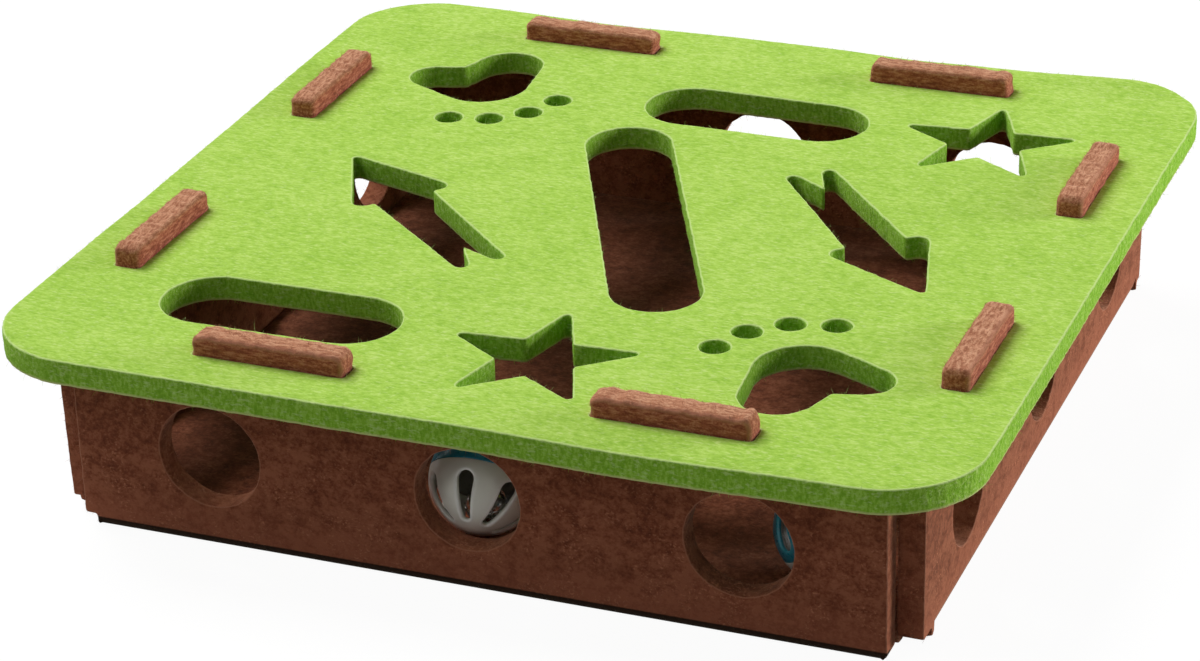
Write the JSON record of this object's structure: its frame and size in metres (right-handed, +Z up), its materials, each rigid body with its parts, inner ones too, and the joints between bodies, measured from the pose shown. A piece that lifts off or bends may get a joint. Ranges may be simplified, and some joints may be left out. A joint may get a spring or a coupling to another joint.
{
  "type": "cat puzzle box",
  "caption": "Square felt hide-and-seek box for cats: a folded tray with round side holes, a tabbed lid with cut-out shapes, and slotted bell balls that roll inside.",
  "frame": {"origin": "middle of the tray's underside, on the floor that the box stands on", "axes": "+Z up through the lid, +X to the right and -Y to the front of the picture's nearest long wall"},
  "size_m": [0.3, 0.3, 0.0685],
  "materials": {
    "green_felt": "pressed felt, soft cut edges",
    "brown_felt": "pressed felt, speckled",
    "white_plastic": "moulded, satin gloss",
    "blue_plastic": "moulded, satin gloss",
    "bell_metal": "nickel plated"
  },
  "bodies": {
    "tray": {"floor_panel": "brown_felt", "front_wall": "brown_felt", "back_wall": "brown_felt", "left_wall": "brown_felt", "right_wall": "brown_felt"},
    "lid": {"lid": "green_felt"},
    "bell_1": {"bell_1": "bell_metal", "pellet_1": "bell_metal"},
    "ball_1": {"ball_1_white_half": "white_plastic", "ball_1_blue_half": "blue_plastic"},
    "bell_2": {"bell_2": "bell_metal", "pellet_2": "bell_metal"},
    "ball_2": {"ball_2_white_half": "white_plastic", "ball_2_blue_half": "blue_plastic"}
  },
  "joints": [
    {"name": "lid_lift", "type": "slide", "parent": "tray", "child": "lid", "axis": [0, 0, 1], "range_m": [0, 0.15]},
    {"name": "ball_1_roll", "type": "slide", "parent": "tray", "child": "bell_1", "axis": [0, 1, 0], "range_m": [0, 0.2208]},
    {"name": "ball_1_turn", "type": "hinge", "parent": "bell_1", "child": "ball_1", "pos_m": [-0.0035, -0.1123, 0.0248], "axis": [1, 0, 0], "range_deg": [-768, 1]},
    {"name": "ball_2_roll", "type": "slide", "parent": "tray", "child": "bell_2", "axis": [0, 1, 0], "range_m": [-0.0015, 0.2155]},
    {"name": "ball_2_turn", "type": "hinge", "parent": "bell_2", "child": "ball_2", "pos_m": [0.1005, -0.107, 0.0248], "axis": [1, 0, 0], "range_deg": [-750, 7]}
  ],
  "couplings": [
    {"joint": "ball_1_turn", "follows": "ball_1_roll", "rad_per_m": -60.606},
    {"joint": "ball_2_turn", "follows": "ball_2_roll", "rad_per_m": -60.606}
  ]
}
